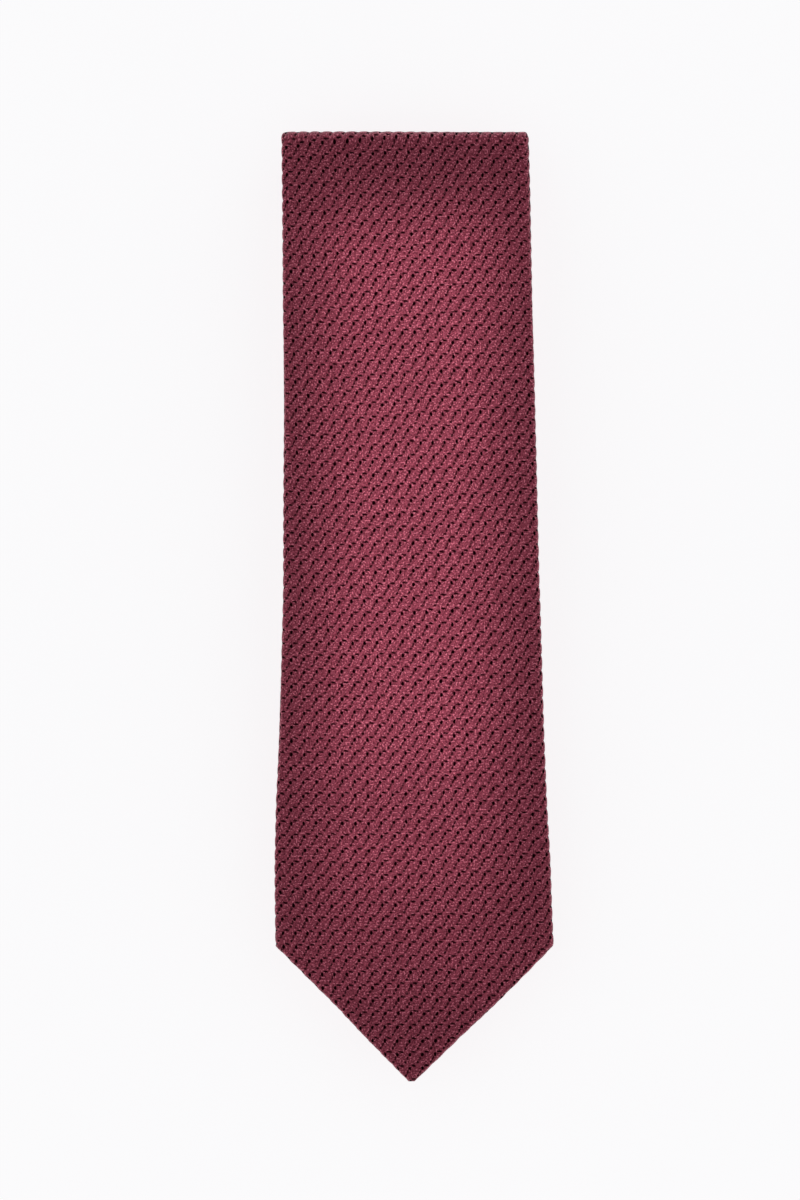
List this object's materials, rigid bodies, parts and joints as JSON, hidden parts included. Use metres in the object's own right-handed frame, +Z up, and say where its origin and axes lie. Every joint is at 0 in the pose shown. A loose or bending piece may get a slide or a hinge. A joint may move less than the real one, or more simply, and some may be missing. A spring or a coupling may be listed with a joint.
{
  "type": "necktie",
  "caption": "Lined silk necktie, folded like an accordion with the front of its pointed wide blade on top; the folds open to the full length.",
  "frame": {"origin": "under the middle of the folded tie, on the surface it lies on", "axes": "+Y along the blade from its wide tip to the front fold, +X across the blade, +Z up out of the blade's front face"},
  "size_m": [0.08, 0.2734, 0.0192],
  "materials": {
    "silk": "burgundy silk in an open gauze weave, soft sheen",
    "wool_interlining": "off-white brushed wool",
    "satin_tipping": "dark burgundy satin",
    "sewing_thread": "burgundy silk thread",
    "woven_label": "blank near-black woven ribbon",
    "care_label": "blank off-white woven tape"
  },
  "bodies": {
    "blade": {"blade_shell": "silk", "blade_interlining": "wool_interlining", "blade_slip_stitch": "sewing_thread", "blade_tipping": "satin_tipping", "blade_bar_tack": "sewing_thread", "keeper_loop": "silk", "woven_label": "woven_label", "care_label": "care_label", "keeper_loop_left_tack": "sewing_thread", "keeper_loop_right_tack": "sewing_thread", "woven_label_left_tack": "sewing_thread", "woven_label_right_tack": "sewing_thread", "care_label_left_tack": "sewing_thread", "care_label_right_tack": "sewing_thread"},
    "taper": {"taper_shell": "silk", "taper_interlining": "wool_interlining", "taper_slip_stitch": "sewing_thread", "front_fold_shell": "silk", "front_fold_interlining": "wool_interlining"},
    "knot": {"knot_blade_shell": "silk", "knot_neck_shell": "silk", "knot_interlining": "wool_interlining", "knot_slip_stitch": "sewing_thread", "blade_neck_seam": "sewing_thread", "taper_fold_shell": "silk", "taper_fold_interlining": "wool_interlining"},
    "collar": {"collar_shell": "silk", "collar_interlining": "wool_interlining", "collar_slip_stitch": "sewing_thread", "knot_fold_shell": "silk", "knot_fold_interlining": "wool_interlining"},
    "tail_band": {"tail_band_neck_shell": "silk", "tail_band_tail_shell": "silk", "tail_band_interlining": "wool_interlining", "tail_band_slip_stitch": "sewing_thread", "neck_tail_seam": "sewing_thread", "collar_fold_shell": "silk", "collar_fold_interlining": "wool_interlining"},
    "tail": {"tail_shell": "silk", "tail_interlining": "wool_interlining", "tail_slip_stitch": "sewing_thread", "tail_tipping": "satin_tipping", "tail_bar_tack": "sewing_thread", "tail_fold_shell": "silk", "tail_fold_interlining": "wool_interlining"}
  },
  "joints": [
    {"name": "tail_fold", "type": "hinge", "parent": "tail", "child": "tail_band", "pos_m": [0, 0.1342, 0.0028], "axis": [-1, 0, 0], "range_deg": [0, 179.8], "deforming": ["tail_fold_shell", "tail_fold_interlining"]},
    {"name": "collar_fold", "type": "hinge", "parent": "tail_band", "child": "collar", "pos_m": [0, -0.10554, 0.0058], "axis": [1, 0, 0], "range_deg": [0, 179.8], "deforming": ["collar_fold_shell", "collar_fold_interlining"]},
    {"name": "knot_fold", "type": "hinge", "parent": "collar", "child": "knot", "pos_m": [0, 0.1342, 0.0088], "axis": [-1, 0, 0], "range_deg": [0, 179.8], "deforming": ["knot_fold_shell", "knot_fold_interlining"]},
    {"name": "taper_fold", "type": "hinge", "parent": "knot", "child": "taper", "pos_m": [0, -0.10554, 0.0118], "axis": [1, 0, 0], "range_deg": [0, 179.8], "deforming": ["taper_fold_shell", "taper_fold_interlining"]},
    {"name": "front_fold", "type": "hinge", "parent": "taper", "child": "blade", "pos_m": [0, 0.1354, 0.0156], "axis": [-1, 0, 0], "range_deg": [0, 179.8], "deforming": ["front_fold_shell", "front_fold_interlining"]}
  ],
  "couplings": [
    {"joint": "collar_fold", "follows": "tail_fold", "ratio": 1},
    {"joint": "knot_fold", "follows": "tail_fold", "ratio": 1},
    {"joint": "taper_fold", "follows": "tail_fold", "ratio": 1}
  ]
}
